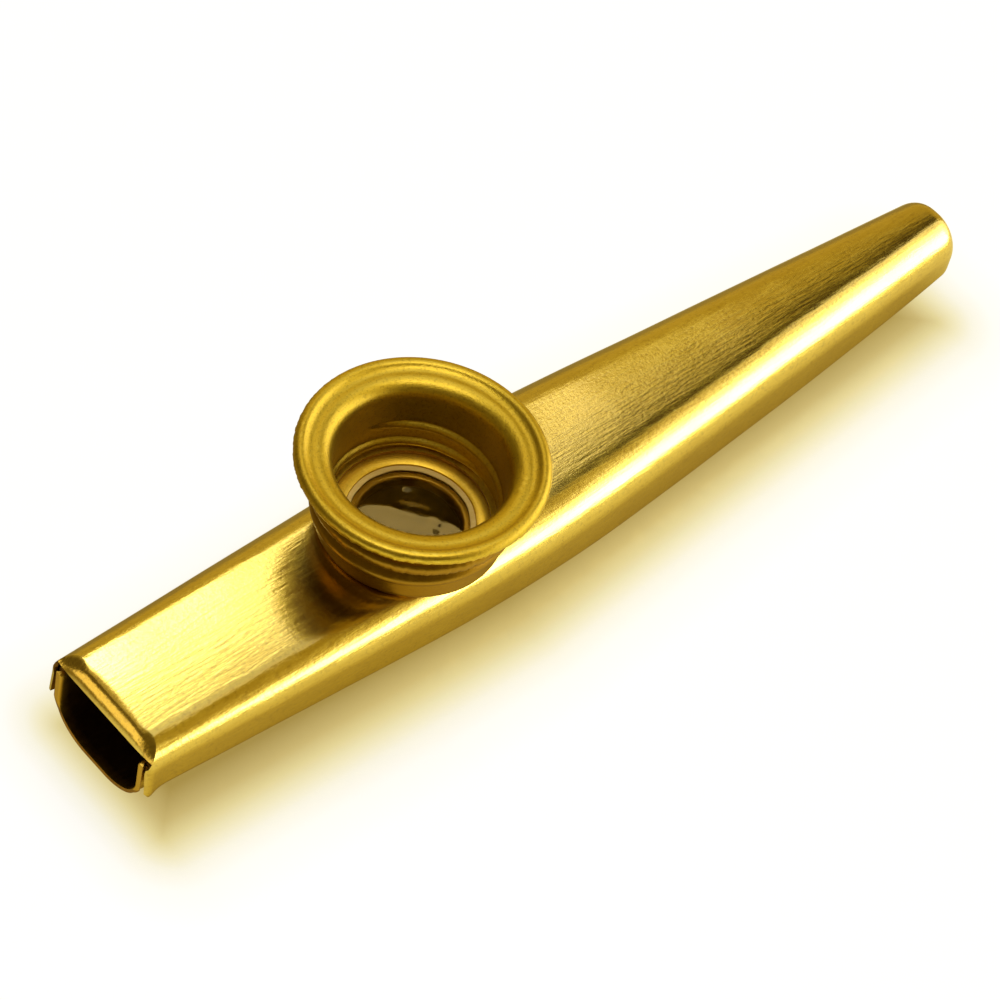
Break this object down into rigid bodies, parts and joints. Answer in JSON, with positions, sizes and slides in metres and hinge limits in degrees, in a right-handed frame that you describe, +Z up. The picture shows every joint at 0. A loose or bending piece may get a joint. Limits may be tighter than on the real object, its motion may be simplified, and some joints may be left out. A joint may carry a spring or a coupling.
{
  "type": "kazoo",
  "caption": "Gold metal kazoo: flat-topped, tapering hollow body with folded side seams, an open lipped mouth, a small tail and a turret whose flared screw cap clamps a buzzing film membrane",
  "frame": {"origin": "on the surface the kazoo rests on, under the centre of its bounding box", "axes": "X along the body from the mouth end (-X) to the tail end (+X), Y across, Z up from the resting face through the turret"},
  "size_m": [0.12, 0.0264, 0.0268],
  "materials": {
    "gold_body": "gold anodised, lengthwise brushed satin",
    "gold_turret": "gold anodised, turned satin",
    "gold_cap": "gold anodised, turned satin with polished rolled rim",
    "gold_washer": "gold anodised, smooth",
    "pale_ring": "matt pale beige",
    "clear_film": "thin clear film, smooth"
  },
  "bodies": {
    "body": {"upper_shell": "gold_body", "lower_shell": "gold_body", "turret_collar": "gold_turret"},
    "membrane": {"membrane_film": "clear_film", "membrane_ring": "pale_ring", "retaining_washer": "gold_washer"},
    "cap": {"screw_cap": "gold_cap"}
  },
  "joints": [
    {"name": "cap_rise", "type": "slide", "parent": "body", "child": "membrane", "axis": [0, 0, 1], "range_m": [0, 0.00391]},
    {"name": "cap_turn", "type": "hinge", "parent": "membrane", "child": "cap", "pos_m": [-0.0201, 0, 0.0206], "axis": [0, 0, 1], "range_deg": [0, 540]}
  ],
  "couplings": [
    {"joint": "cap_rise", "follows": "cap_turn", "m_per_rad": 0.0004138}
  ]
}
